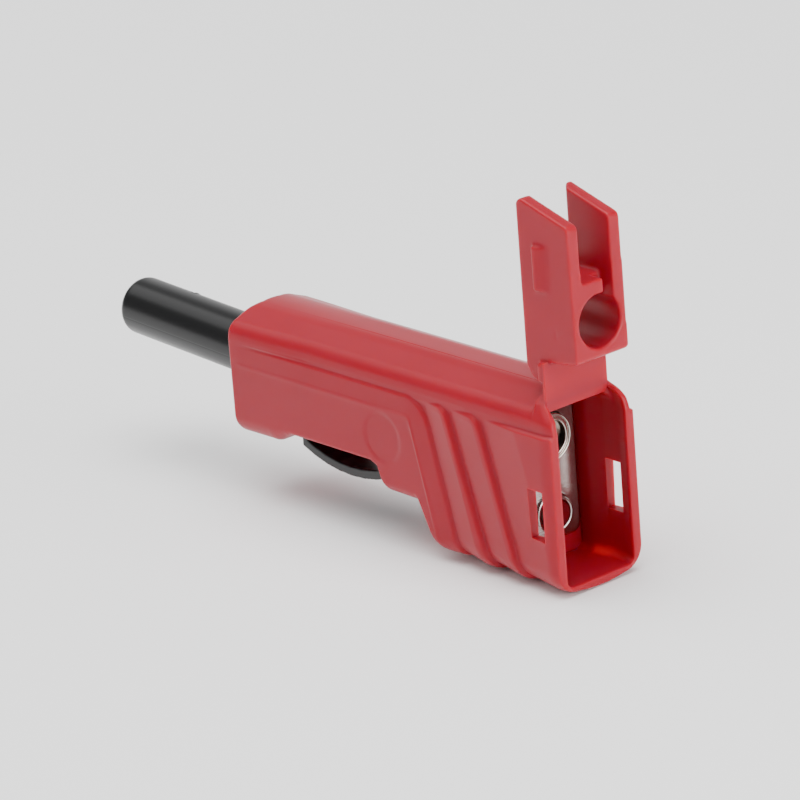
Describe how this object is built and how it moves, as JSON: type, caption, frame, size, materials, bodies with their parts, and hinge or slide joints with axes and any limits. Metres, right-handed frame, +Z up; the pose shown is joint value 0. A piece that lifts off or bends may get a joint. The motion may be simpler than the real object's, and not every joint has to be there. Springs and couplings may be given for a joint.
{
  "type": "safety banana plug",
  "caption": "Pistol-shaped 4 mm safety plug with a sprung sleeve over its pin, a stacking socket at the rear and a rear cover on a film hinge, shown open.",
  "frame": {"origin": "on the plug's axis, where the sliding sleeve leaves the front face of the housing", "axes": "-X out of the front along the housing's long edges, +Z up towards the hinge of the cover, +Y to the left seen from the rear"},
  "size_m": [0.0916, 0.0148, 0.0504],
  "materials": {
    "red_plastic": "semi-gloss moulded",
    "black_plastic": "satin moulded",
    "nickel_plate": "nickel-plated, lightly brushed",
    "gold_plate": "flash gold on spring copper",
    "spring_steel": "drawn wire"
  },
  "bodies": {
    "body": {"housing": "red_plastic", "hinge_film": "red_plastic", "contact_carrier": "black_plastic", "plug_pin": "nickel_plate", "contact_cage": "gold_plate", "socket_tube": "nickel_plate", "socket_contact": "gold_plate", "terminal_plate": "nickel_plate", "return_spring": "spring_steel"},
    "sleeve": {"safety_sleeve": "black_plastic"},
    "bow": {"release_bow": "black_plastic"},
    "rear_cover": {"cover": "red_plastic"}
  },
  "joints": [
    {"name": "sleeve_slide", "type": "slide", "parent": "body", "child": "sleeve", "axis": [0.9987, 0, -0.0501], "range_m": [0, 0.016], "stiffness_N_per_m": 60, "springref_m": -0.008, "deforming": ["return_spring"]},
    {"name": "bow_press", "type": "slide", "parent": "body", "child": "bow", "axis": [0, 0, 1], "range_m": [0, 0.0008], "stiffness_N_per_m": 400, "springref_m": -0.001},
    {"name": "cover_hinge", "type": "hinge", "parent": "body", "child": "rear_cover", "pos_m": [0.0588, 0, 0.00865], "axis": [0, 1, 0], "range_deg": [0, 180], "deforming": ["hinge_film"]}
  ]
}
